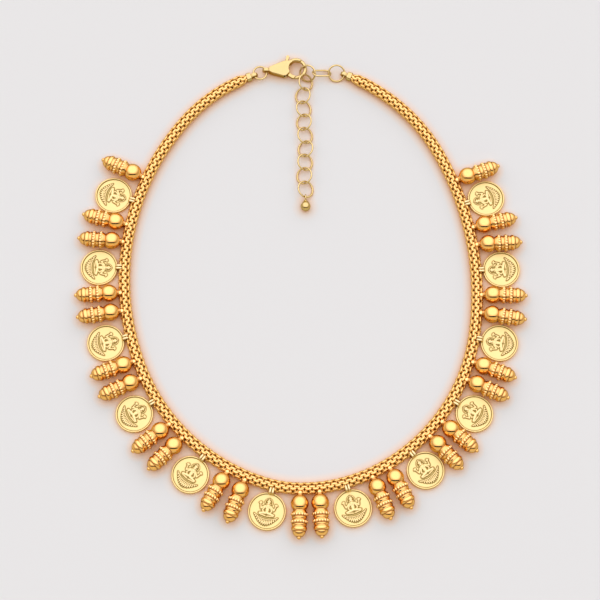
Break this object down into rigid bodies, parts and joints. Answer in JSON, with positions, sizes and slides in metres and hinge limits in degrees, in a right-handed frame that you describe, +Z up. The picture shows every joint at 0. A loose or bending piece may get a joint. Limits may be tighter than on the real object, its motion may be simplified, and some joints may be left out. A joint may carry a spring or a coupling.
{
  "type": "temple jewellery necklace",
  "caption": "Temple coin necklace lying flat: a woven chain with round figure coins, beaded ball drops, a lobster clasp and an extender with a ball charm.",
  "frame": {"origin": "centre of the neck opening, on the surface that the necklace lies on", "axes": "+X to the wearer's left, towards the extender ring's end of the chain as it lies; +Y from the lowest pendants to the clasp; +Z up, out of the coins' faces"},
  "size_m": [0.1572, 0.1744, 0.0061],
  "materials": {
    "chain_gold": "warm gold plate on small woven links, dark between them",
    "drop_gold": "mirror-polished gold plate on the balls, bright grains with darker hollows",
    "coin_gold": "satin pale gold plate on struck relief",
    "polished_gold": "polished gold plate"
  },
  "bodies": {
    "necklace": {"woven_chain": "chain_gold", "end_cap_left": "polished_gold", "end_cap_right": "polished_gold", "clasp_ring": "polished_gold", "clasp_body": "polished_gold", "extender_ring": "polished_gold", "extender_chain": "polished_gold", "end_charm": "polished_gold", "coin_01": "coin_gold", "coin_02": "coin_gold", "coin_03": "coin_gold", "coin_04": "coin_gold", "coin_05": "coin_gold", "coin_06": "coin_gold", "coin_07": "coin_gold", "coin_08": "coin_gold", "coin_09": "coin_gold", "coin_10": "coin_gold", "coin_11": "coin_gold", "coin_12": "coin_gold", "drop_01": "drop_gold", "drop_02": "drop_gold", "drop_03": "drop_gold", "drop_04": "drop_gold", "drop_05": "drop_gold", "drop_06": "drop_gold", "drop_07": "drop_gold", "drop_08": "drop_gold", "drop_09": "drop_gold", "drop_10": "drop_gold", "drop_11": "drop_gold", "drop_12": "drop_gold", "drop_13": "drop_gold", "drop_14": "drop_gold", "drop_15": "drop_gold", "drop_16": "drop_gold", "drop_17": "drop_gold", "drop_18": "drop_gold", "drop_19": "drop_gold", "drop_20": "drop_gold", "drop_21": "drop_gold", "drop_22": "drop_gold", "drop_23": "drop_gold", "drop_24": "drop_gold"},
    "lever": {"clasp_lever": "polished_gold"}
  },
  "joints": [
    {"name": "lever_turn", "type": "hinge", "parent": "necklace", "child": "lever", "pos_m": [-0.00564, 0.08511, 0.0017], "axis": [0, 0, 1], "range_deg": [0, 22], "stiffness_Nm_per_rad": 0.02, "springref_deg": -11.46}
  ]
}
